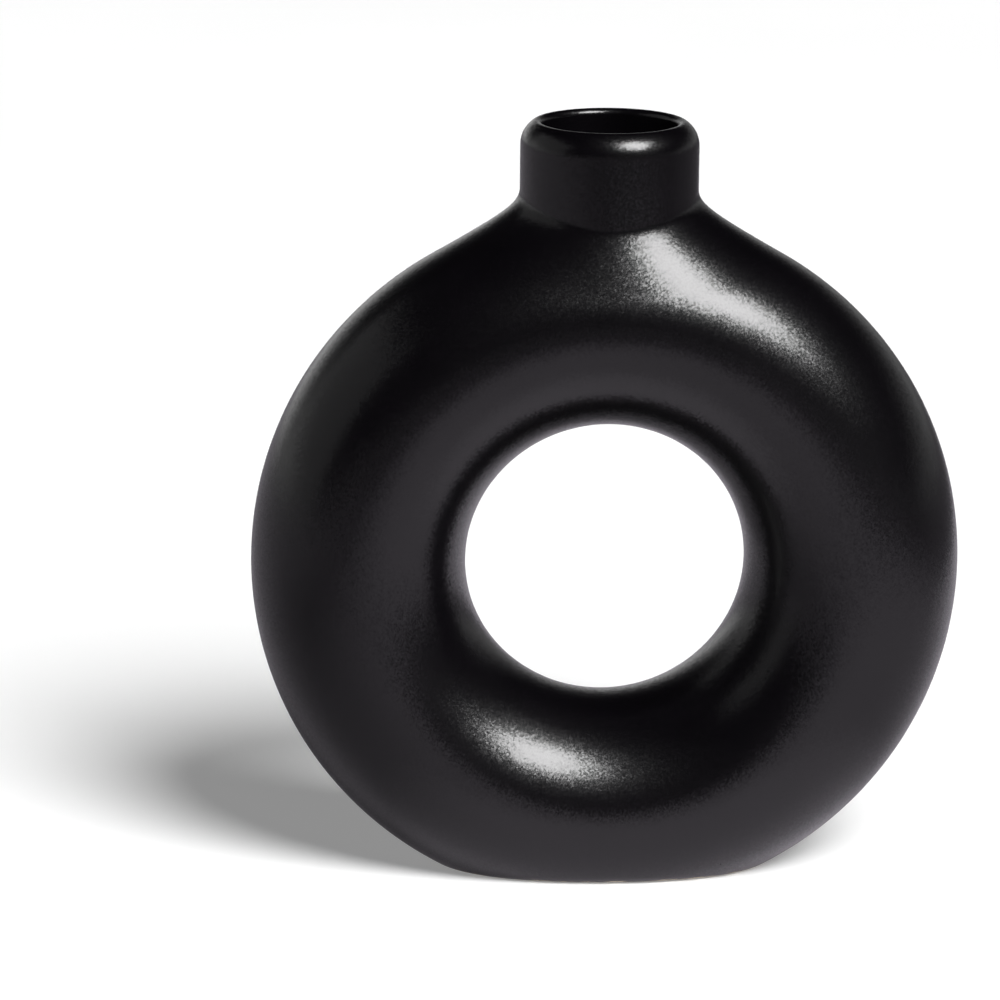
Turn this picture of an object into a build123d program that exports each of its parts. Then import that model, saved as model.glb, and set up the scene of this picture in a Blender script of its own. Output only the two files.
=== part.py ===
"""Ring-shaped stoneware vase: two pressed half rings, a slab foot and a thrown collar, luted with slip.

Millimetres, +Z up, the front faces -Y. The origin is the middle of the foot, on the table.
"""
import os
from math import radians, sin, sqrt, tan

from build123d import *

# The ring: a tube of oval section bent round into a circle that stands on edge.
ring_diameter = 180.0
tube_width = 54.4
tube_depth = 62.0
foot_cut = 10.6

# The neck and its mouth.
neck_rise = 22.7
mouth_diameter = 34.0
lip_wall = 5.5
lip_inner_radius = 0.8
lip_flat = 0.2
neck_blend_radius = 17.0

# The clay and the foot.
wall = 5.0
shoulder_radius = 4.0
foot_thickness = 6.0
foot_edge_radius = 5.0
foot_rim_width = 5.0
foot_hollow_depth = 1.2

# The joints: joining slip between the clay pieces, and the bevel that the collar sits in.
slip_thickness = 0.5
bevel_angle = 62.0

# The lining: a poured glaze that makes the inside hold water and ends a little below the lip.
lining_thickness = 0.4
bare_lip_height = 6.0

# Sizes that follow from the ones above.
ring_radius = ring_diameter / 2 - tube_width / 2
ring_centre_height = ring_diameter / 2 - foot_cut
crown_height = ring_centre_height + ring_radius
overall_height = ring_centre_height + ring_diameter / 2 + neck_rise
neck_length = overall_height - crown_height
neck_diameter = mouth_diameter + 2 * lip_wall
lip_outer_radius = lip_wall - lip_inner_radius - lip_flat
lining_top = overall_height - bare_lip_height
lined_bore_radius = mouth_diameter / 2 + lining_thickness
bevel_height = 2 * neck_length
bevel_radius = bevel_height * tan(radians(bevel_angle))
bevel_drop = slip_thickness / sin(radians(bevel_angle))
foot_drop = (ring_centre_height - ring_radius) / (tube_width / 2)
foot_length = 2 * sqrt((ring_diameter / 2) ** 2 - ring_centre_height ** 2)
foot_depth = tube_depth * sqrt(1 - foot_drop ** 2)
foot_margin = foot_edge_radius + foot_rim_width
ring_axis = Axis((0, 0, ring_centre_height), (0, -1, 0))
section_plane = Plane(origin=(0, 0, ring_centre_height), x_dir=(0, 0, -1), z_dir=(1, 0, 0))
joint_plane = Plane.XZ.offset(slip_thickness / 2)

os.makedirs("parts", exist_ok=True)


def front_half_tube(inset, floor_height):
    """Adds the front half of the ring, drawn in from the outside by the inset and cut flat below."""
    width = tube_width - 2 * inset
    depth = tube_depth - 2 * inset
    with BuildSketch(section_plane) as section:
        with BuildLine():
            EllipticalCenterArc((ring_radius, 0), width / 2, depth / 2, start_angle=180, arc_size=180)
            Line((ring_radius - width / 2, 0), (ring_radius + width / 2, 0))
        make_face()
    revolve(section.sketch, axis=ring_axis)
    split(bisect_by=Plane.XY.offset(floor_height), keep=Keep.TOP)


def front_half_neck(radius, top_height):
    """Adds the front half of an upright cylinder from the middle of the tube up to a height."""
    with BuildSketch(Plane.XY.offset(crown_height)) as section:
        Circle(radius)
        Rectangle(2 * radius, radius, align=(Align.CENTER, Align.MIN), mode=Mode.SUBTRACT)
    extrude(section.sketch, amount=top_height - crown_height)


def saddle_edge(builder):
    """Returns the curve where an upright cylinder meets the crown of the ring."""
    curves = builder.edges().filter_by(GeomType.BSPLINE)
    return curves.sort_by(Axis.Z)[-1]


def bevelled_plug(drop, mode):
    """Adds, keeps or takes away a cone with its tip in the middle of the tube, under the neck."""
    with Locations((0, 0, crown_height - drop)):
        Cone(0, bevel_radius, bevel_height, align=(Align.CENTER, Align.CENTER, Align.MIN), mode=mode)


# The outside of the whole vase, front half only: ring, neck, blended shoulder, rounded foot and lip.
with BuildPart() as outside:
    front_half_tube(0, 0)
    front_half_neck(neck_diameter / 2, overall_height)
    fillet(saddle_edge(outside), neck_blend_radius)
    base_edges = outside.faces().sort_by(Axis.Z)[0].edges()
    fillet(base_edges.filter_by(GeomType.LINE, reverse=True), foot_edge_radius)
    top_edges = outside.faces().sort_by(Axis.Z)[-1].edges()
    fillet(top_edges.filter_by(GeomType.CIRCLE), lip_outer_radius)

# The hollow in the clay, front half only, with the inner edge under the neck rounded over.
with BuildPart() as hollow:
    front_half_tube(wall, foot_thickness)
    front_half_neck(lined_bore_radius, lining_top)
    fillet(saddle_edge(hollow), shoulder_radius)

# The space for water inside the lining, front half only.
with BuildPart() as water_space:
    front_half_tube(wall + lining_thickness, foot_thickness + lining_thickness)
    front_half_neck(mouth_diameter / 2, overall_height)
    fillet(saddle_edge(water_space), shoulder_radius + lining_thickness)

# The clay of the front half, from the foot to the lip, before it is parted into its pieces.
with BuildPart() as front_clay:
    add(outside.part)
    add(hollow.part, mode=Mode.SUBTRACT)
    with BuildSketch(Plane.XY.offset(overall_height)) as mouth_section:
        Circle(mouth_diameter / 2)
    extrude(amount=-2 * bare_lip_height, mode=Mode.SUBTRACT)
    rim_edges = front_clay.faces().sort_by(Axis.Z)[-1].edges()
    fillet(rim_edges.filter_by(GeomType.CIRCLE).sort_by(SortBy.RADIUS)[0], lip_inner_radius)

# The clay of the front half ring with its joint allowance, down to the mid-plane.
with BuildPart() as front_ring_clay:
    add(front_clay.part)
    bevelled_plug(bevel_drop, Mode.SUBTRACT)
    split(bisect_by=Plane.XY.offset(foot_thickness + slip_thickness), keep=Keep.TOP)

# Front half ring: an open trough of clay, butted against its twin on the mid-plane.
with BuildPart() as front_half_ring:
    add(front_ring_clay.part)
    split(bisect_by=joint_plane, keep=Keep.TOP)

# Rear half ring: the twin from the same mould, turned round.
with BuildPart() as rear_half_ring:
    mirror(front_half_ring.part, about=Plane.XZ)

# Slip between the two half rings: a band round the hole and a band up each side to the collar.
with BuildPart() as half_joint_slip:
    add(front_ring_clay.part)
    split(bisect_by=joint_plane, keep=Keep.BOTTOM)
    mirror(about=Plane.XZ)

# Collar: the neck with its rounded lip and the saddle-shaped skirt that blends into the ring.
with BuildPart() as neck_collar:
    add(front_clay.part)
    bevelled_plug(0, Mode.INTERSECT)
    mirror(about=Plane.XZ)

# Slip in the bevelled joint under the collar's skirt.
with BuildPart() as neck_joint_slip:
    add(front_clay.part)
    bevelled_plug(bevel_drop, Mode.INTERSECT)
    bevelled_plug(0, Mode.SUBTRACT)
    mirror(about=Plane.XZ)

# Foot: a slab that closes the flat underside, hollowed a little so that it stands on its rim.
with BuildPart() as foot_slab:
    add(front_clay.part)
    split(bisect_by=Plane.XY.offset(foot_thickness), keep=Keep.BOTTOM)
    mirror(about=Plane.XZ)
    with BuildSketch(Plane.XY) as foot_hollow:
        Ellipse(foot_length / 2 - foot_margin, foot_depth / 2 - foot_margin)
    extrude(amount=foot_hollow_depth, mode=Mode.SUBTRACT)

# Slip between the slab and the lower edges of the two half rings.
with BuildPart() as foot_joint_slip:
    add(front_clay.part)
    split(bisect_by=Plane.XY.offset(foot_thickness), keep=Keep.TOP)
    split(bisect_by=Plane.XY.offset(foot_thickness + slip_thickness), keep=Keep.BOTTOM)
    mirror(about=Plane.XZ)

# Lining: one skin of glaze over the whole inside, from the floor of the ring up into the neck.
with BuildPart() as inner_glaze:
    add(hollow.part)
    add(water_space.part, mode=Mode.SUBTRACT)
    mirror(about=Plane.XZ)

front_half_ring.part.label = "front_half_ring"
export_step(front_half_ring.part, "parts/front_half_ring.step")
rear_half_ring.part.label = "rear_half_ring"
export_step(rear_half_ring.part, "parts/rear_half_ring.step")
half_joint_slip.part.label = "half_joint_slip"
export_step(half_joint_slip.part, "parts/half_joint_slip.step")
neck_collar.part.label = "neck_collar"
export_step(neck_collar.part, "parts/neck_collar.step")
neck_joint_slip.part.label = "neck_joint_slip"
export_step(neck_joint_slip.part, "parts/neck_joint_slip.step")
foot_slab.part.label = "foot_slab"
export_step(foot_slab.part, "parts/foot_slab.step")
foot_joint_slip.part.label = "foot_joint_slip"
export_step(foot_joint_slip.part, "parts/foot_joint_slip.step")
inner_glaze.part.label = "inner_glaze"
export_step(inner_glaze.part, "parts/inner_glaze.step")
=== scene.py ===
"""A black glazed ring vase on a pale table top.

Each packed clay piece is replaced by a smooth glazed form of the same size, because the glaze is
a mirror that shows every facet. The neck's flare and lip follow the highlights more closely than
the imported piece. The forms are worked out in millimetres and placed in metres.
"""

import math

import bmesh
import bpy
import numpy as np
from mathutils import Matrix, Vector


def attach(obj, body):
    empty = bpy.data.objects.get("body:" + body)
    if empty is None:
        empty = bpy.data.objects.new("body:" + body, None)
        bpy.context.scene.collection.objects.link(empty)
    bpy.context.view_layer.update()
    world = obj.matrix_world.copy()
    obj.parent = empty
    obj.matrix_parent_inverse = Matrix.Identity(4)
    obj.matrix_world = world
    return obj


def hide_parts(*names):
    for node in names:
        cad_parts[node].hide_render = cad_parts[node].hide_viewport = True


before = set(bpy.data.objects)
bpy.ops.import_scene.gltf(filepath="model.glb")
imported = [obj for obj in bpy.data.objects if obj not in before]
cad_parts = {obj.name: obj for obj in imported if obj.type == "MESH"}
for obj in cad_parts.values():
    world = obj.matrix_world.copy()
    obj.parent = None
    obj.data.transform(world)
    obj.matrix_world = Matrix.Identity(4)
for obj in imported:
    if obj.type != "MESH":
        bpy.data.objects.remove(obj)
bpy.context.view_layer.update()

# A millimetre, a full turn, the steps for slopes and for welding, the halvings of a search, and the
# mirror image in the mid-plane.
MM = 0.001
TURN = 2 * math.pi
SMALL = 1e-4
WELD = 1e-6
HALVINGS = 50
FLIP = np.array([1.0, -1.0, 1.0])

# The vase, in millimetres.
RING_RADIUS = 62.8
TUBE_HALF_WIDTH = 27.2
TUBE_HALF_DEPTH = 31.0
RING_CENTRE = 79.4
NECK_RADIUS = 22.5
HEIGHT = 192.1
BORE_RADIUS = 17.0
LIP_OUTER = 7.0
LIP_INNER = 1.5
WALL = 5.0
SHOULDER = 4.0
LINING = 0.4
LINING_TOP = 186.1
LINING_SEAT = 1.0
FOOT_THICKNESS = 6.0
FOOT_EDGE = 5.0
FOOT_HOLLOW = 1.2
FOOT_HOLLOW_LENGTH = 32.38
FOOT_HOLLOW_DEPTH = 14.56
FOOT_HOLLOW_EDGE = 0.35

# The flare from the ring into the neck, beside the neck and in front of it: how far out it leaves the
# ring, how far it climbs the neck above the crease, and how closely it hugs the crease.
FLARE_REACH = (45.0, 29.1)
FLARE_RISE = (4.6, 1.0)
FLARE_PULL = (1.8, 3.3)
FLARE_TURN = math.asin(FLARE_REACH[0] / (RING_RADIUS + TUBE_HALF_WIDTH))
FLARE_DIP = math.asin(FLARE_REACH[1] / TUBE_HALF_DEPTH)

# The grid that the glazed skin is drawn on: steps round the ring and round half the tube, and the
# windows in it for the neck and the foot.
ROUND_STEPS = 216
HALF_STEPS = 42
CROWN_STEP = ROUND_STEPS // 4
FOOT_STEP = 3 * ROUND_STEPS // 4
CROWN_WINDOW = (21, 20)
FOOT_WINDOW = (23, 18)
PATCH_ROWS = 7
BLEND_ROWS = 12
FLARE_ROWS = 24
WALL_ROWS = 8
LIP_ROWS = 12


def turned(normals):
    """The corner normals of a mirrored face, in its turned order."""
    return None if normals is None else [np.asarray(normal) * FLIP for normal in reversed(normals)]


class Form:
    """The points and faces of one piece, with the normal that each face has at each corner."""

    def __init__(self):
        self.points = []
        self.faces = []
        self.normals = []

    def row(self, points):
        """Adds points and returns their numbers."""
        start = len(self.points)
        self.points.extend(np.asarray(points, float).reshape(-1, 3))
        return np.arange(start, len(self.points))

    def face(self, numbers, normals=None):
        """Adds a face. Without normals it stays flat."""
        self.faces.append([int(number) for number in numbers])
        self.normals.append(normals)

    def strip(self, first, second, first_normals=None, second_normals=None, closed=False):
        """Joins two rows of equal length by four-sided faces."""
        count = len(first)
        for k in range(count if closed else count - 1):
            m = (k + 1) % count
            normals = None
            if first_normals is not None:
                normals = [first_normals[k], second_normals[k], second_normals[m], first_normals[m]]
            self.face((first[k], second[k], second[m], first[m]), normals)

    def mirror(self):
        """Adds the rear half as a mirror image of the front half, welded on the mid-plane."""
        numbers = []
        for k, point in enumerate(list(self.points)):
            if abs(point[1]) < WELD:
                numbers.append(k)
            else:
                numbers.append(len(self.points))
                self.points.append(point * FLIP)
        for face, normals in zip(list(self.faces), list(self.normals)):
            self.face([numbers[k] for k in reversed(face)], turned(normals))


def ring_surface(u, v, inset):
    """Points and normals of the ring, drawn in by the inset; u runs round the ring, v round the tube."""
    half_width = TUBE_HALF_WIDTH - inset
    half_depth = TUBE_HALF_DEPTH - inset
    outward = half_depth * np.cos(v)
    forward = half_width * np.sin(v)
    length = np.hypot(outward, forward)
    reach = RING_RADIUS + half_width * np.cos(v)
    points = np.stack([reach * np.cos(u), -half_depth * np.sin(v), RING_CENTRE + reach * np.sin(u)], -1)
    normals = np.stack([outward * np.cos(u), -forward, outward * np.sin(u)], -1) / length[..., None]
    return points, normals


def window_chain(window):
    """The steps along the front border of a window in the grid, from one side round to the other."""
    wide, deep = window
    chain = [(wide, k) for k in range(deep)]
    chain += [(k, deep) for k in range(wide, -wide, -1)]
    chain += [(-wide, k) for k in range(deep, -1, -1)]
    return np.array(chain)


def contact_shares(chain, centre_step, inset, miss):
    """How far out along each ray, from a window's middle to its border, a blend touches the ring."""
    low = np.zeros(len(chain))
    high = np.ones(len(chain))
    for _ in range(HALVINGS):
        middle = (low + high) / 2
        points, normals = ray_surface(chain, centre_step, middle, inset)
        below = miss(points, normals) < 0
        low = np.where(below, middle, low)
        high = np.where(below, high, middle)
    return (low + high) / 2


def ray_surface(chain, centre_step, shares, inset):
    """Points and normals of the ring at a share of the way along each ray of a window."""
    u = (centre_step + shares * chain[:, 0]) * TURN / ROUND_STEPS
    v = shares * chain[:, 1] * math.pi / HALF_STEPS
    return ring_surface(u, v, inset)


def neck_contact(inset, radius, blend):
    """The blend between the ring's crown and a cylinder: chain, shares, ring, ball and wall points."""
    chain = window_chain(CROWN_WINDOW)

    def miss(points, normals):
        centres = points + blend * normals
        return np.hypot(centres[:, 0], centres[:, 1]) - (radius + blend)

    shares = contact_shares(chain, CROWN_STEP, inset, miss)
    points, normals = ray_surface(chain, CROWN_STEP, shares, inset)
    centres = points + blend * normals
    walls = centres.copy()
    walls[:, :2] *= radius / (radius + blend)
    return chain, shares, points, centres, walls


def flare_points(angle, share):
    """Points of the flare at an angle round its edge and a share of the way up to the neck."""
    wide = FLARE_TURN * np.cos(angle)
    deep = FLARE_DIP * np.sin(angle)
    edge, _ = ring_surface(TURN / 4 + wide, deep, 0.0)
    nearer, _ = ring_surface(TURN / 4 + wide * (1 - SMALL), deep * (1 - SMALL), 0.0)
    climb = (nearer - edge) / SMALL
    a = (climb[..., :2] ** 2).sum(-1)
    b = (climb[..., :2] * edge[..., :2]).sum(-1)
    c = (edge[..., :2] ** 2).sum(-1) - NECK_RADIUS ** 2
    crease = edge + climb * ((-b - np.sqrt(b * b - a * c)) / a)[..., None]
    ahead = np.sin(angle)[..., None] ** 2
    rise = FLARE_RISE[0] + (FLARE_RISE[1] - FLARE_RISE[0]) * ahead
    pull = FLARE_PULL[0] + (FLARE_PULL[1] - FLARE_PULL[0]) * ahead
    top = crease + rise * np.array([0.0, 0.0, 1.0])
    weights = (1 - share) ** 2, 2 * pull * share * (1 - share), share ** 2
    return (weights[0] * edge + weights[1] * crease + weights[2] * top) / sum(weights)


def flare_normals(angle, share):
    """Normals of the flare, from points a small step to each side."""
    round_step = flare_points(angle + SMALL, share) - flare_points(angle - SMALL, share)
    up_step = flare_points(angle, share + SMALL) - flare_points(angle, share - SMALL)
    normals = np.cross(up_step, round_step)
    return normals / np.linalg.norm(normals, axis=-1)[..., None]


def flare_contact():
    """The flare round the outside of the neck: chain, shares, and the angle of each ray."""
    chain = window_chain(CROWN_WINDOW)
    wide = chain[:, 0] * TURN / ROUND_STEPS / FLARE_TURN
    deep = chain[:, 1] * math.pi / HALF_STEPS / FLARE_DIP
    return chain, 1 / np.hypot(wide, deep), np.arctan2(deep, wide)


def foot_contact(inset, floor, edge):
    """The rounded edge between the ring and its underside: chain, shares, ring, ball and floor points."""
    chain = window_chain(FOOT_WINDOW)

    def miss(points, normals):
        return (points - edge * normals)[:, 2] - (floor + edge)

    shares = contact_shares(chain, FOOT_STEP, inset, miss)
    points, normals = ray_surface(chain, FOOT_STEP, shares, inset)
    centres = points - edge * normals
    floors = centres.copy()
    floors[:, 2] = floor
    return chain, shares, points, centres, floors


def arc_rows(centres, starts, ends, count):
    """Rows of points on the arcs about the centres from the starts to the ends, and their directions."""
    from_centre = starts - centres
    to_centre = ends - centres
    radius = np.linalg.norm(from_centre, axis=1)[:, None]
    a = from_centre / radius
    b = to_centre / radius
    angle = np.arccos(np.clip((a * b).sum(1), -1, 1))[:, None]
    rows = []
    for k in range(1, count + 1):
        share = k / count
        direction = (np.sin((1 - share) * angle) * a + np.sin(share * angle) * b) / np.sin(angle)
        rows.append((centres + radius * direction, direction))
    return rows


def ring_skin(form, inset, facing, neck, foot):
    """Adds one skin of the front half ring. Returns its rows along the joints."""
    around = np.arange(ROUND_STEPS) * TURN / ROUND_STEPS
    across = np.arange(HALF_STEPS + 1) * math.pi / HALF_STEPS
    u, v = np.meshgrid(around, across, indexing="ij")
    points, normals = ring_surface(u, v, inset)
    normals = facing * normals
    numbers = -np.ones(u.shape, int)
    windows = ((CROWN_STEP, CROWN_WINDOW), (FOOT_STEP, FOOT_WINDOW))
    for j in range(ROUND_STEPS):
        for i in range(HALF_STEPS + 1):
            if not any(abs(j - c) < wide and i < deep for c, (wide, deep) in windows):
                numbers[j, i] = form.row(points[j, i])[0]
    for j in range(ROUND_STEPS):
        n = (j + 1) % ROUND_STEPS
        for i in range(HALF_STEPS):
            if any(c - wide <= j < c + wide and i < deep for c, (wide, deep) in windows):
                continue
            form.face(
                (numbers[j, i], numbers[j, i + 1], numbers[n, i + 1], numbers[n, i]),
                (normals[j, i], normals[j, i + 1], normals[n, i + 1], normals[n, i]),
            )
    ends = []
    for centre, contact in ((CROWN_STEP, neck), (FOOT_STEP, foot)):
        chain, shares = contact[0], contact[1]
        border = (centre + chain[:, 0]) % ROUND_STEPS
        row = numbers[border, chain[:, 1]]
        row_normals = normals[border, chain[:, 1]]
        rows = [row]
        for k in range(1, PATCH_ROWS + 1):
            share = 1 + (shares - 1) * k / PATCH_ROWS
            next_points, next_normals = ray_surface(chain, centre, share, inset)
            next_normals = facing * next_normals
            next_row = form.row(next_points)
            form.strip(row, next_row, row_normals, next_normals)
            row, row_normals = next_row, next_normals
            rows.append(row)
        ends.append((rows, row, row_normals))
    (neck_rows, neck_row, neck_normals), (foot_rows, foot_row, foot_normals) = ends
    right_end = FOOT_STEP + FOOT_WINDOW[0] - ROUND_STEPS
    right = np.arange(CROWN_STEP - CROWN_WINDOW[0], right_end - 1, -1) % ROUND_STEPS
    left = np.arange(CROWN_STEP + CROWN_WINDOW[0], FOOT_STEP - FOOT_WINDOW[0] + 1)
    right_edge = [r[-1] for r in reversed(neck_rows[1:])]
    right_edge += list(numbers[right, 0])
    right_edge += [r[0] for r in foot_rows[1:]]
    left_edge = [r[0] for r in reversed(neck_rows[1:])]
    left_edge += list(numbers[left, 0])
    left_edge += [r[-1] for r in foot_rows[1:]]
    hole_edge = list(numbers[:, HALF_STEPS])
    return {
        "right": right_edge,
        "left": left_edge,
        "hole": hole_edge,
        "neck": (neck_row, neck_normals),
        "foot": (foot_row, foot_normals),
    }


def half_ring_form():
    """The front half ring: an open trough of clay with its glazed outside."""
    form = Form()
    outer = ring_skin(form, 0.0, 1.0, NECK_OUTSIDE, FOOT_OUTSIDE)
    inner = ring_skin(form, WALL, -1.0, NECK_INSIDE, FOOT_INSIDE)
    for edge in ("right", "left"):
        form.strip(outer[edge], inner[edge])
    form.strip(outer["hole"], inner["hole"], closed=True)
    for edge in ("neck", "foot"):
        form.strip(outer[edge][0], inner[edge][0])
    return form


def upright_rows(form, row, row_normals, start, ends, radius, facing, count):
    """Adds rows of an upright wall from a saddle-shaped row to a level row of even spacing."""
    start_angle = np.arctan2(np.abs(start[:, 1]), start[:, 0])
    end_angle, end_height = ends
    for k in range(1, count + 1):
        share = k / count
        angle = start_angle + (end_angle - start_angle) * share
        height = start[:, 2] + (end_height - start[:, 2]) * share
        side = np.stack([np.cos(angle), -np.sin(angle), np.zeros_like(angle)], -1)
        points = radius * side
        points[:, 2] = height
        next_row = form.row(points)
        form.strip(row, next_row, row_normals, facing * side)
        row, row_normals = next_row, facing * side
    return row, row_normals


def level_row(angles, radius, height):
    """Points of a level arc round the front of the neck."""
    heights = np.full_like(angles, height)
    return np.stack([radius * np.cos(angles), -radius * np.sin(angles), heights], -1)


def lip_normals(angles, tilt):
    """Normals of a level arc that lean up by the tilt."""
    return level_row(angles, math.cos(tilt), math.sin(tilt))


def even_angles(contact):
    """Even spacing round the front of the neck, in the order of the contact's chain."""
    return np.linspace(math.pi, 0.0, len(contact[0]))


def neck_form():
    """The collar: blended skirt, upright neck, rounded lip and the top of the bore."""
    form = Form()
    flare_angles = NECK_OUTSIDE[2]
    angles = even_angles(NECK_OUTSIDE)
    outer_edge = form.row(flare_points(flare_angles, 0.0))
    row, row_normals = outer_edge, flare_normals(flare_angles, 0.0)
    for k in range(1, FLARE_ROWS + 1):
        points = flare_points(flare_angles, k / FLARE_ROWS)
        points[[0, -1], 1] = 0.0
        next_row = form.row(points)
        next_normals = flare_normals(flare_angles, k / FLARE_ROWS)
        form.strip(row, next_row, row_normals, next_normals)
        row, row_normals = next_row, next_normals
    outer_centre = NECK_RADIUS - LIP_OUTER
    inner_centre = BORE_RADIUS + LIP_INNER
    inner_height = HEIGHT - LIP_INNER
    lean = math.acos((inner_centre - outer_centre) / (LIP_OUTER - LIP_INNER))
    outer_height = inner_height - (LIP_OUTER - LIP_INNER) * math.sin(lean)
    row, row_normals = upright_rows(
        form, row, row_normals, points, (angles, outer_height), NECK_RADIUS, 1.0, WALL_ROWS
    )
    arcs = (
        (outer_centre, outer_height, LIP_OUTER, 0.0, lean),
        (inner_centre, inner_height, LIP_INNER, lean, math.pi),
    )
    for arc_radius, arc_height, size, start_tilt, end_tilt in arcs:
        for k in range(1, LIP_ROWS + 1):
            tilt = start_tilt + (end_tilt - start_tilt) * k / LIP_ROWS
            radius = arc_radius + size * math.cos(tilt)
            height = arc_height + size * math.sin(tilt)
            next_row = form.row(level_row(angles, radius, height))
            next_normals = lip_normals(angles, tilt)
            form.strip(row, next_row, row_normals, next_normals)
            row, row_normals = next_row, next_normals
    land = form.row(level_row(angles, BORE_RADIUS, LINING_TOP))
    form.strip(row, land, row_normals, row_normals)
    step = form.row(level_row(angles, BORE_RADIUS + LINING, LINING_TOP))
    form.strip(land, step)
    _, shares, starts, centres, walls = NECK_INSIDE
    _, normals = ray_surface(NECK_INSIDE[0], CROWN_STEP, shares, WALL)
    inner_edge = form.row(starts)
    row, row_normals = inner_edge, -normals
    for points, directions in arc_rows(centres, starts, walls, BLEND_ROWS):
        next_row = form.row(points)
        form.strip(row, next_row, row_normals, directions)
        row, row_normals = next_row, directions
    seat = (angles, LINING_TOP - LINING_SEAT)
    row, row_normals = upright_rows(
        form, row, row_normals, walls, seat, BORE_RADIUS + LINING, -1.0, WALL_ROWS
    )
    form.strip(row, step, row_normals, row_normals)
    form.strip(outer_edge, inner_edge)
    form.mirror()
    return form


def lining_form():
    """The glaze lining: a thin skin over the whole inside, from the ring's floor up into the neck."""
    form = Form()
    tops = []
    for inset, facing, radius, neck, foot in (
        (WALL + LINING, -1.0, BORE_RADIUS, NECK_WATER, FOOT_WATER),
        (WALL, 1.0, BORE_RADIUS + LINING, NECK_INSIDE, FOOT_INSIDE),
    ):
        skin = ring_skin(form, inset, facing, neck, foot)
        row, row_normals = skin["neck"]
        _, _, starts, centres, walls = neck
        for points, directions in arc_rows(centres, starts, walls, BLEND_ROWS):
            next_row = form.row(points)
            form.strip(row, next_row, row_normals, -facing * directions)
            row, row_normals = next_row, -facing * directions
        angles = even_angles(neck)
        row, _ = upright_rows(
            form, row, row_normals, walls, (angles, LINING_TOP), radius, facing, WALL_ROWS
        )
        tops.append(row)
        form.face(skin["foot"][0])
    form.strip(tops[0], tops[1])
    form.mirror()
    return form


def foot_form():
    """The slab foot: rounded edge, standing rim and a shallow hollow underneath."""
    form = Form()
    _, shares, starts, centres, floors = FOOT_OUTSIDE
    _, normals = ray_surface(FOOT_OUTSIDE[0], FOOT_STEP, shares, 0.0)
    outer_edge = form.row(starts)
    row, row_normals = outer_edge, normals
    for points, directions in arc_rows(centres, starts, floors, BLEND_ROWS):
        next_row = form.row(points)
        form.strip(row, next_row, row_normals, directions)
        row, row_normals = next_row, directions
    turn = np.arctan2(floors[:, 1] / FOOT_HOLLOW_DEPTH, floors[:, 0] / FOOT_HOLLOW_LENGTH)
    turn[0] = math.pi if floors[0, 0] < 0 else 0.0
    turn[-1] = math.pi if floors[-1, 0] < 0 else 0.0
    oval = np.zeros((len(turn), 3))
    oval[:, 0] = FOOT_HOLLOW_LENGTH * np.cos(turn)
    oval[:, 1] = FOOT_HOLLOW_DEPTH * np.sin(turn)
    oval[[0, -1], 1] = 0.0
    down = np.tile([0.0, 0.0, -1.0], (len(turn), 1))
    edge = FOOT_HOLLOW_EDGE
    edge_steps = (
        (0.0, 0.0),
        (edge * 0.3, edge * 0.7),
        (edge * 0.6, FOOT_HOLLOW - edge),
        (edge * 1.6, FOOT_HOLLOW),
    )
    for shrink, height in edge_steps:
        scale = np.array([1 - shrink / FOOT_HOLLOW_LENGTH, 1 - shrink / FOOT_HOLLOW_DEPTH, 1.0])
        points = oval * scale
        points[:, 2] = height
        next_row = form.row(points)
        if height == 0.0:
            form.strip(row, next_row, row_normals, down)
        else:
            form.strip(row, next_row)
        row = next_row
    form.face(row)
    inner_edge = form.row(FOOT_INSIDE[2])
    form.strip(outer_edge, inner_edge)
    form.face(inner_edge)
    form.mirror()
    return form


NECK_OUTSIDE = flare_contact()
NECK_INSIDE = neck_contact(WALL, BORE_RADIUS + LINING, SHOULDER)
NECK_WATER = neck_contact(WALL + LINING, BORE_RADIUS, SHOULDER + LINING)
FOOT_OUTSIDE = foot_contact(0.0, 0.0, FOOT_EDGE)
FOOT_INSIDE = foot_contact(WALL, FOOT_THICKNESS, 0.0)
FOOT_WATER = foot_contact(WALL + LINING, FOOT_THICKNESS + LINING, 0.0)


def rear_form(front):
    """The rear half ring: the mirror image of the front half."""
    form = Form()
    form.row([point * FLIP for point in front.points])
    for face, normals in zip(front.faces, front.normals):
        form.face(list(reversed(face)), turned(normals))
    return form


def make_piece(name, form, material):
    """Turns a form into a closed smooth mesh with the form's own normals."""
    mesh = bpy.data.meshes.new(name)
    mesh.from_pydata([tuple(point * MM) for point in form.points], [], form.faces)
    work = bmesh.new()
    work.from_mesh(mesh)
    bmesh.ops.recalc_face_normals(work, faces=work.faces)
    work.to_mesh(mesh)
    work.free()
    mesh.polygons.foreach_set("use_smooth", [True] * len(mesh.polygons))
    corners = [None] * len(mesh.loops)
    for polygon, face, normals in zip(mesh.polygons, form.faces, form.normals):
        known = {} if normals is None else dict(zip(face, normals))
        for loop in polygon.loop_indices:
            normal = Vector(known.get(mesh.loops[loop].vertex_index, polygon.normal))
            corners[loop] = normal if normal.dot(polygon.normal) >= 0 else -normal
    mesh.normals_split_custom_set(corners)
    mesh.materials.append(material)
    piece = bpy.data.objects.new(name, mesh)
    bpy.context.scene.collection.objects.link(piece)
    return piece


def fill(tree, socket, value):
    """Links a socket to another one, or gives it a plain value."""
    if isinstance(value, bpy.types.NodeSocket):
        tree.links.new(value, socket)
    else:
        socket.default_value = value


def put(tree, kind, options=None, sockets=None):
    """Adds a shader node, sets its options, and fills or links its named sockets."""
    node = tree.nodes.new(kind)
    for name, value in (options or {}).items():
        setattr(node, name, value)
    for name, value in (sockets or {}).items():
        fill(tree, node.inputs[name], value)
    return node


VALUE = "NodeSocketFloat"
DIRECTION = "NodeSocketVector"

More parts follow.
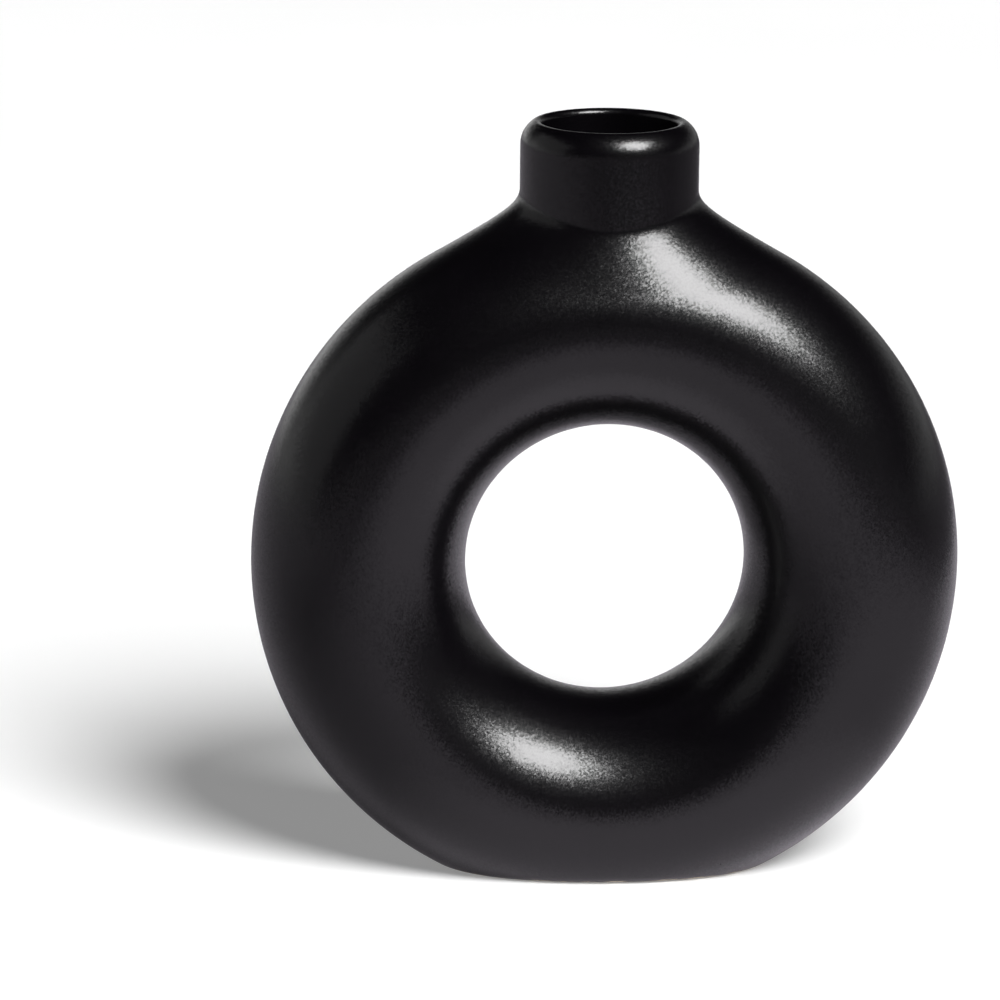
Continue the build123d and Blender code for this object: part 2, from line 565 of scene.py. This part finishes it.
# The colour sockets of a mix node share their names with others, so they are told apart by number.
MIX_FIRST, MIX_SECOND, MIX_RESULT = 6, 7, 2

# The span of levels that a noise pattern fills, and the sizes and soft edge of specks.
NOISE_SPAN = (0.3, 0.7)
SPECK_SIZES = (0.4, 1.0)
SPECK_EDGE = (0.6, 1.0)

# The glaze: its two tones of black, its grain, its roughness, the sizes of its crystals, its pinholes
# and its dust. Depths here and below are in metres.
GLAZE_TONES = ((0.0014, 0.0011, 0.0017, 1.0), (0.0021, 0.0017, 0.0024, 1.0))
GLAZE_GRAIN = {"Grain Scale": 2900.0, "Waver Scale": 45.0}
GLAZE_ROUGHNESS = (0.235, 0.265)
CRYSTAL_SIZES = (1.0, 0.73)
PINHOLE_DEPTH = 0.00008
PINHOLE_ROUGHNESS = 0.3
DUST_TONE = (0.30, 0.29, 0.28, 1.0)
DUST_COVER = 0.5

# The poured lining.
LINING_TONES = ((0.0022, 0.0022, 0.0025, 1.0), (0.0040, 0.0038, 0.0040, 1.0))
LINING_ROUGHNESS = (0.10, 0.18)
LINING_RIPPLE = 0.00003

# The bare clay of the foot, its iron specks, and the line that the glaze is wiped back to.
CLAY_TONES = ((0.50, 0.43, 0.35, 1.0), (0.60, 0.53, 0.44, 1.0))
CLAY_ROUGHNESS = (0.75, 0.95)
CLAY_COARSENESS = 2.0
IRON_TONE = (0.20, 0.13, 0.08, 1.0)
WIPED_HEIGHTS = (0.0003, 0.0008)
WIPED_EDGE = 0.00012
TOOTH_DEPTH = 0.000045


def new_group(name, inputs, outputs):
    """Starts a shader node group. Returns its tree, its inputs' sockets and its outputs' node.

    The inputs give each value's start; the outputs give each socket's kind.
    """
    tree = bpy.data.node_groups.new(name, "ShaderNodeTree")
    for socket, value in inputs.items():
        made = tree.interface.new_socket(socket, in_out="INPUT", socket_type=VALUE)
        made.default_value = value
    for socket, kind in outputs.items():
        tree.interface.new_socket(socket, in_out="OUTPUT", socket_type=kind)
    return tree, tree.nodes.new("NodeGroupInput").outputs, tree.nodes.new("NodeGroupOutput")


def use_group(tree, group, values):
    """Places a node group in a material with its own values. Returns its outputs."""
    node = put(tree, "ShaderNodeGroup", {"node_tree": group}, values)
    return node.outputs


def math_node(tree, operation, first, second=0.0, clamp=False):
    """Works out one value from two."""
    options = {"operation": operation, "use_clamp": clamp}
    return put(tree, "ShaderNodeMath", options, {0: first, 1: second}).outputs[0]


def vector_node(tree, operation, sockets):
    """Works out one vector from others."""
    return put(tree, "ShaderNodeVectorMath", {"operation": operation}, sockets).outputs[0]


def reach_from(tree, place, point):
    """How far a place is from a point."""
    node = put(tree, "ShaderNodeVectorMath", {"operation": "DISTANCE"}, {0: place, 1: point})
    return node.outputs["Value"]


def span(tree, value, low, high, to_low=0.0, to_high=1.0):
    """Maps a value smoothly from one span to another."""
    return put(
        tree,
        "ShaderNodeMapRange",
        {"interpolation_type": "SMOOTHSTEP"},
        {"Value": value, "From Min": low, "From Max": high, "To Min": to_low, "To Max": to_high},
    ).outputs[0]


def mix_colour(tree, share, first, second):
    """Mixes two colours."""
    sockets = {"Factor": share, MIX_FIRST: first, MIX_SECOND: second}
    return put(tree, "ShaderNodeMix", {"data_type": "RGBA"}, sockets).outputs[MIX_RESULT]


def blend_values(tree, share, first, second):
    """The first value where the share is none, the second where it is whole."""
    rest = math_node(tree, "SUBTRACT", 1.0, share)
    return math_node(
        tree, "ADD", math_node(tree, "MULTIPLY", share, second), math_node(tree, "MULTIPLY", rest, first)
    )


def grain_group():
    """The fine tooth of a fired surface, and the slow waver of its thickness."""
    inputs = {"Grain Scale": 2000.0, "Waver Scale": 40.0}
    tree, given, out = new_group("fired_grain", inputs, {"Grain": VALUE, "Waver": VALUE})
    place = put(tree, "ShaderNodeTexCoord").outputs["Object"]
    fine = {"Vector": place, "Scale": given["Grain Scale"], "Detail": 1.0}
    slow = {"Vector": place, "Scale": given["Waver Scale"], "Detail": 3.0}
    tooth = put(tree, "ShaderNodeTexNoise", None, fine).outputs[0]
    waver = put(tree, "ShaderNodeTexNoise", None, slow).outputs[0]
    tree.links.new(tooth, out.inputs["Grain"])
    tree.links.new(span(tree, waver, *NOISE_SPAN), out.inputs["Waver"])
    return tree


def speck_group():
    """Sparse round specks: a few cells of a cell pattern each hold one dot."""
    inputs = {"Cell Scale": 150.0, "Share": 0.1, "Size": 0.1}
    tree, given, out = new_group("sparse_specks", inputs, {"Speck": VALUE})
    place = put(tree, "ShaderNodeTexCoord").outputs["Object"]
    sockets = {"Vector": place, "Scale": given["Cell Scale"]}
    cells = put(tree, "ShaderNodeTexVoronoi", {"feature": "F1"}, sockets)
    draw = put(tree, "ShaderNodeSeparateColor", None, {"Color": cells.outputs["Color"]})
    chosen = math_node(tree, "LESS_THAN", draw.outputs["Red"], given["Share"])
    share = span(tree, draw.outputs["Green"], 0.0, 1.0, *SPECK_SIZES)
    size = math_node(tree, "MULTIPLY", given["Size"], share)
    out_from_dot = math_node(tree, "DIVIDE", cells.outputs["Distance"], size)
    dot = span(tree, out_from_dot, *SPECK_EDGE, 1.0, 0.0)
    tree.links.new(math_node(tree, "MULTIPLY", chosen, dot), out.inputs["Speck"])
    return tree


def crystal_group():
    """The crystals of a satin glaze: each small cell of the surface is tilted its own way."""
    inputs = {"Cell Scale": 2600.0, "Tilt": 0.2}
    tree, given, out = new_group("tilted_crystals", inputs, {"Normal": DIRECTION})
    place = put(tree, "ShaderNodeTexCoord").outputs["Object"]
    facing = put(tree, "ShaderNodeNewGeometry").outputs["Normal"]
    for coarseness in CRYSTAL_SIZES:
        scale = math_node(tree, "MULTIPLY", given["Cell Scale"], coarseness)
        cells = put(tree, "ShaderNodeTexVoronoi", {"feature": "F1"}, {"Vector": place, "Scale": scale})
        lean = vector_node(tree, "SUBTRACT", {0: cells.outputs["Color"], 1: (0.5, 0.5, 0.5)})
        lean = vector_node(tree, "SCALE", {0: lean, "Scale": given["Tilt"]})
        facing = vector_node(tree, "ADD", {0: facing, 1: lean})
    facing = vector_node(tree, "NORMALIZE", {0: facing})
    tree.links.new(facing, out.inputs["Normal"])
    return tree


fired_grain = grain_group()
tilted_crystals = crystal_group()
sparse_specks = speck_group()


def new_material(name):
    """Starts a material. Returns it with its tree and its shader."""
    material = bpy.data.materials.new(name)
    material.use_nodes = True
    return material, material.node_tree, material.node_tree.nodes["Principled BSDF"]


def satin_glaze():
    """Satin black glaze: near black, with fine crystals that soften what it mirrors, pinholes and dust."""
    material, tree, shader = new_material("satin_black_glaze")
    grain = use_group(tree, fired_grain, GLAZE_GRAIN)
    pit = use_group(tree, sparse_specks, {"Cell Scale": 140.0, "Share": 0.03, "Size": 0.05})["Speck"]
    dust = use_group(tree, sparse_specks, {"Cell Scale": 260.0, "Share": 0.02, "Size": 0.05})["Speck"]
    tone = mix_colour(tree, grain["Waver"], *GLAZE_TONES)
    colour = mix_colour(tree, math_node(tree, "MULTIPLY", dust, DUST_COVER), tone, DUST_TONE)
    tree.links.new(colour, shader.inputs["Base Color"])
    rough = span(tree, grain["Grain"], *NOISE_SPAN, *GLAZE_ROUGHNESS)
    rough = math_node(tree, "ADD", rough, math_node(tree, "MULTIPLY", pit, PINHOLE_ROUGHNESS))
    tree.links.new(rough, shader.inputs["Roughness"])
    tilt = use_group(tree, tilted_crystals, {"Cell Scale": 3200.0, "Tilt": 0.06})["Normal"]
    height = math_node(tree, "SUBTRACT", 1.0, pit)
    sockets = {"Strength": 1.0, "Distance": PINHOLE_DEPTH, "Height": height, "Normal": tilt}
    bump = put(tree, "ShaderNodeBump", None, sockets)
    tree.links.new(bump.outputs[0], shader.inputs["Normal"])
    return material


def gloss_lining():
    """Poured black lining: glossier and smoother than the outside."""
    material, tree, shader = new_material("gloss_black_lining")
    grain = use_group(tree, fired_grain, {"Grain Scale": 900.0, "Waver Scale": 90.0})
    tone = mix_colour(tree, grain["Waver"], *LINING_TONES)
    tree.links.new(tone, shader.inputs["Base Color"])
    rough = span(tree, grain["Waver"], 0.0, 1.0, *LINING_ROUGHNESS)
    tree.links.new(rough, shader.inputs["Roughness"])
    sockets = {"Strength": 1.0, "Distance": LINING_RIPPLE, "Height": grain["Waver"]}
    bump = put(tree, "ShaderNodeBump", None, sockets)
    tree.links.new(bump.outputs[0], shader.inputs["Normal"])
    return material


def glazed_foot():
    """The foot: black glaze down to an uneven wiped line, and bare pale stoneware below it."""
    material, tree, shader = new_material("bare_stoneware")
    grain = use_group(tree, fired_grain, GLAZE_GRAIN)
    clay = use_group(tree, fired_grain, {"Grain Scale": 1400.0, "Waver Scale": 160.0})
    iron = use_group(tree, sparse_specks, {"Cell Scale": 700.0, "Share": 0.12, "Size": 0.3})["Speck"]
    place = put(tree, "ShaderNodeTexCoord").outputs["Object"]
    height = put(tree, "ShaderNodeSeparateXYZ", None, {"Vector": place}).outputs["Z"]
    line = span(tree, clay["Waver"], 0.0, 1.0, *WIPED_HEIGHTS)
    glazed = span(tree, math_node(tree, "SUBTRACT", height, line), 0.0, WIPED_EDGE)
    black = mix_colour(tree, grain["Waver"], *GLAZE_TONES)
    pale = mix_colour(tree, iron, mix_colour(tree, clay["Waver"], *CLAY_TONES), IRON_TONE)
    tree.links.new(mix_colour(tree, glazed, pale, black), shader.inputs["Base Color"])
    bare_rough = span(tree, clay["Grain"], *NOISE_SPAN, *CLAY_ROUGHNESS)
    glaze_rough = span(tree, grain["Grain"], *NOISE_SPAN, *GLAZE_ROUGHNESS)
    rough = blend_values(tree, glazed, bare_rough, glaze_rough)
    tree.links.new(rough, shader.inputs["Roughness"])
    coarse = math_node(tree, "MULTIPLY", clay["Grain"], CLAY_COARSENESS)
    tooth = blend_values(tree, glazed, coarse, grain["Grain"])
    bump = put(tree, "ShaderNodeBump", None, {"Strength": 1.0, "Distance": TOOTH_DEPTH, "Height": tooth})
    tree.links.new(bump.outputs[0], shader.inputs["Normal"])
    return material


glaze = satin_glaze()
lining = gloss_lining()
stoneware = glazed_foot()
front_half = half_ring_form()
pieces = (
    ("front_half_glazed", front_half, glaze, "satin_black_glaze", ("front_half_ring", "half_joint_slip")),
    ("rear_half_glazed", rear_form(front_half), glaze, "satin_black_glaze", ("rear_half_ring",)),
    ("neck_glazed", neck_form(), glaze, "satin_black_glaze", ("neck_collar", "neck_joint_slip")),
    ("lining_poured", lining_form(), lining, "gloss_black_lining", ("inner_glaze",)),
    ("foot_wiped", foot_form(), stoneware, "bare_stoneware", ("foot_slab", "foot_joint_slip")),
)
for name, form, material, slot, nodes in pieces:
    piece = make_piece(name, form, material)
    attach(piece, "root")
    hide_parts(*nodes)

# The camera: where it stands, turned from the front and raised, and where it looks beside the ring.
VIEW_TURN = math.radians(-3.94)
VIEW_RISE = math.radians(14.02)
VIEW_ROLL = math.radians(-0.72)
VIEW_DISTANCE = 1.6
VIEW_LENS = 226.15
VIEW_OFFSET = (-0.02666, 0.01455)


def direction(turn, rise):
    """The direction at an angle round from the front, towards the right, and one above the floor."""
    return Vector((math.sin(turn) * math.cos(rise), -math.cos(turn) * math.cos(rise), math.sin(rise)))


def place_camera(scene):
    """The camera, level but for a slight roll, aimed a little beside the ring's middle."""
    middle = Vector((0.0, 0.0, RING_CENTRE * MM))
    back = direction(VIEW_TURN, VIEW_RISE)
    level = Vector((math.cos(VIEW_TURN), math.sin(VIEW_TURN), 0.0))
    rise = back.cross(level)
    across = math.cos(VIEW_ROLL) * level - math.sin(VIEW_ROLL) * rise
    upward = math.sin(VIEW_ROLL) * level + math.cos(VIEW_ROLL) * rise
    place = middle + VIEW_DISTANCE * back
    back = (place - (middle + VIEW_OFFSET[0] * across + VIEW_OFFSET[1] * upward)).normalized()
    across = (across - across.dot(back) * back).normalized()
    upward = back.cross(across)
    lens = bpy.data.cameras.new("camera")
    lens.lens = VIEW_LENS
    camera = bpy.data.objects.new("camera", lens)
    turn = Matrix((across, upward, back)).transposed().to_4x4()
    camera.matrix_world = Matrix.Translation(place) @ turn
    scene.collection.objects.link(camera)
    scene.camera = camera


def place_softbox(scene, name, turn, rise, distance, shape, size, radiance, mirrored=True, cast=True):
    """A flat lamp of an even radiance that faces the vase. It may be only mirrored, or only cast light."""
    lamp = bpy.data.lights.new(name, "AREA")
    lamp.shape = shape
    lamp.size, lamp.size_y = size
    area = size[0] * size[1] * (math.pi / 4 if shape == "ELLIPSE" else 1.0)
    lamp.energy = radiance * math.pi * area
    box = bpy.data.objects.new(name, lamp)
    towards = direction(VIEW_TURN + math.radians(turn), math.radians(rise))
    box.location = distance * towards + Vector((0.0, 0.0, RING_CENTRE * MM))
    box.rotation_euler = towards.to_track_quat("Z", "Y").to_euler()
    box.visible_camera = False
    box.visible_glossy = mirrored
    box.visible_diffuse = cast
    scene.collection.objects.link(box)


# The stage, in metres. Each fade gives where it starts and ends and its level at each. The band and the
# glow belong to the room, and are placed by direction.
SHEET_HALF = 6.0
TABLE_TONES = ((0.79, 0.79, 0.79, 1.0), (0.81, 0.81, 0.81, 1.0))
TABLE_LIFT = 0.24
# The sheet seen only in reflections paints shade and a faint tint into what the glaze mirrors of the
# table. The pool, near, behind and beside fades below mark where it stays open.
REFLECTION_SHADE_TINT = (0.97, 0.91, 1.0, 1.0)
BLACK = (0.0, 0.0, 0.0, 1.0)
WHITE = (1.0, 1.0, 1.0, 1.0)
REFLECTION_SHADE_LIFT = 0.0005
REFLECTION_SHADE_LEVEL = 0.06
POOL_CENTRE = (0.17, -0.25, 0.0)
POOL_FADE = (0.05, 0.58, 0.62, 0.0)
NEAR_CENTRE = (0.03, -0.06, 0.0)
NEAR_FADE = (0.04, 0.16, 0.75, 0.0)
BEHIND_FADE = (-0.3, 0.15, 0.0, 0.55)
BEHIND_LEFT_FADE = (-0.25, 0.05, 0.49, 1.0)
BEHIND_RIGHT_FADE = (0.26, 0.42, 1.0, 0.12)
BESIDE_FADE = (-0.15, -0.5, 0.0, 0.27)
BESIDE_FRONT_FADE = (-1.3, -0.5, 0.0, 1.0)
BAND_TOP_FADE = (-0.2, 0.6, 0.05, 0.40)
GLOW_CENTRE = (-0.26, 0.96, 0.05)
GLOW_FADE = (0.1, 0.7, 1.1, 0.35)


def flat_sheet(scene, name, material):
    """A wide level sheet under the vase."""
    half = SHEET_HALF
    corners = [(-half, -half, 0), (half, -half, 0), (half, half, 0), (-half, half, 0)]
    mesh = bpy.data.meshes.new(name)
    mesh.from_pydata(corners, [], [(0, 1, 2, 3)])
    mesh.materials.append(material)
    sheet = bpy.data.objects.new(name, mesh)
    scene.collection.objects.link(sheet)
    return sheet


def lay_table(scene):
    """A pale table top that takes the shadow and is white where nothing shades it."""
    material, tree, shader = new_material("pale_table")
    grain = use_group(tree, fired_grain, {"Grain Scale": 300.0, "Waver Scale": 3.0})
    tone = mix_colour(tree, grain["Waver"], *TABLE_TONES)
    matt = put(tree, "ShaderNodeBsdfDiffuse", None, {"Color": tone})
    path = put(tree, "ShaderNodeLightPath").outputs
    seen = math_node(tree, "ADD", path["Is Camera Ray"], path["Is Glossy Ray"])
    seen = math_node(tree, "ADD", seen, path["Is Transmission Ray"], clamp=True)
    strength = math_node(tree, "MULTIPLY", seen, TABLE_LIFT)
    lift = put(tree, "ShaderNodeEmission", None, {"Strength": strength})
    both = put(tree, "ShaderNodeAddShader")
    tree.links.new(matt.outputs[0], both.inputs[0])
    tree.links.new(lift.outputs[0], both.inputs[1])
    tree.nodes.remove(shader)
    tree.links.new(both.outputs[0], tree.nodes["Material Output"].inputs["Surface"])
    table = flat_sheet(scene, "table", material)


def lay_painted_reflection_shade(scene):
    """A dark sheet over the table that only mirrored rays meet, and that paints shade into the glaze's
    reflections.

    It dims what the glaze shows of the table outside its open patches. This paints the fall of light
    across the table into the reflections as shade, with a faint tint.
    """
    material, tree, shader = new_material("painted_reflection_shade")
    place = put(tree, "ShaderNodeTexCoord").outputs["Object"]
    axes = put(tree, "ShaderNodeSeparateXYZ", None, {"Vector": place}).outputs
    pool = span(tree, reach_from(tree, place, POOL_CENTRE), *POOL_FADE)
    near = span(tree, reach_from(tree, place, NEAR_CENTRE), *NEAR_FADE)
    left = span(tree, axes["X"], *BEHIND_LEFT_FADE)
    right = span(tree, axes["X"], *BEHIND_RIGHT_FADE)
    behind = span(tree, axes["Y"], *BEHIND_FADE)
    behind = math_node(tree, "MULTIPLY", behind, math_node(tree, "MULTIPLY", left, right))
    beside = span(tree, axes["X"], *BESIDE_FADE)
    beside = math_node(tree, "MULTIPLY", beside, span(tree, axes["Y"], *BESIDE_FRONT_FADE))
    open_share = math_node(tree, "MAXIMUM", pool, near)
    open_share = math_node(tree, "MAXIMUM", open_share, math_node(tree, "MAXIMUM", behind, beside))
    open_share = math_node(tree, "ADD", open_share, REFLECTION_SHADE_LEVEL, clamp=True)
    clear = put(tree, "ShaderNodeBsdfTransparent", None, {"Color": REFLECTION_SHADE_TINT})
    dark = put(tree, "ShaderNodeBsdfDiffuse", None, {"Color": BLACK})
    sockets = {0: open_share, 1: dark.outputs[0], 2: clear.outputs[0]}
    both = put(tree, "ShaderNodeMixShader", None, sockets)
    tree.nodes.remove(shader)
    tree.links.new(both.outputs[0], tree.nodes["Material Output"].inputs["Surface"])
    reflection_shade_sheet = flat_sheet(scene, "reflection_shade_sheet", material)
    reflection_shade_sheet.location.z = REFLECTION_SHADE_LIFT
    reflection_shade_sheet.visible_camera = False
    reflection_shade_sheet.visible_diffuse = False
    reflection_shade_sheet.visible_shadow = False


def light_surround(scene):
    """A dark room with a pale band along the floor, taller behind the vase."""
    world = bpy.data.worlds.new("surround")
    world.use_nodes = True
    tree = world.node_tree
    place = put(tree, "ShaderNodeTexCoord").outputs["Generated"]
    axes = put(tree, "ShaderNodeSeparateXYZ", None, {"Vector": place}).outputs
    top = span(tree, axes["Y"], *BAND_TOP_FADE)
    band = span(tree, reach_from(tree, place, GLOW_CENTRE), *GLOW_FADE)
    level = span(tree, axes["Z"], 0.0, top, band, 0.0)
    tree.links.new(level, tree.nodes["Background"].inputs["Strength"])
    tree.nodes["Background"].inputs["Color"].default_value = WHITE
    scene.world = world


scene = bpy.context.scene
scene.view_settings.view_transform = "Standard"
place_camera(scene)
lay_table(scene)
lay_painted_reflection_shade(scene)
light_surround(scene)
place_softbox(
    scene,
    "main_softbox",
    turn=42.5,
    rise=46.8,
    distance=20.0,
    shape="ELLIPSE",
    size=(11.4, 11.4),
    radiance=19.5,
    cast=False,
)
place_softbox(
    scene,
    "shadow_softbox",
    turn=34.0,
    rise=44.5,
    distance=20.0,
    shape="ELLIPSE",
    size=(10.0, 10.0),
    radiance=25.0,
    mirrored=False,
)
place_softbox(
    scene,
    "left_panel",
    turn=-92.0,
    rise=22.0,
    distance=3.0,
    shape="RECTANGLE",
    size=(3.6, 2.2),
    radiance=0.3,
)
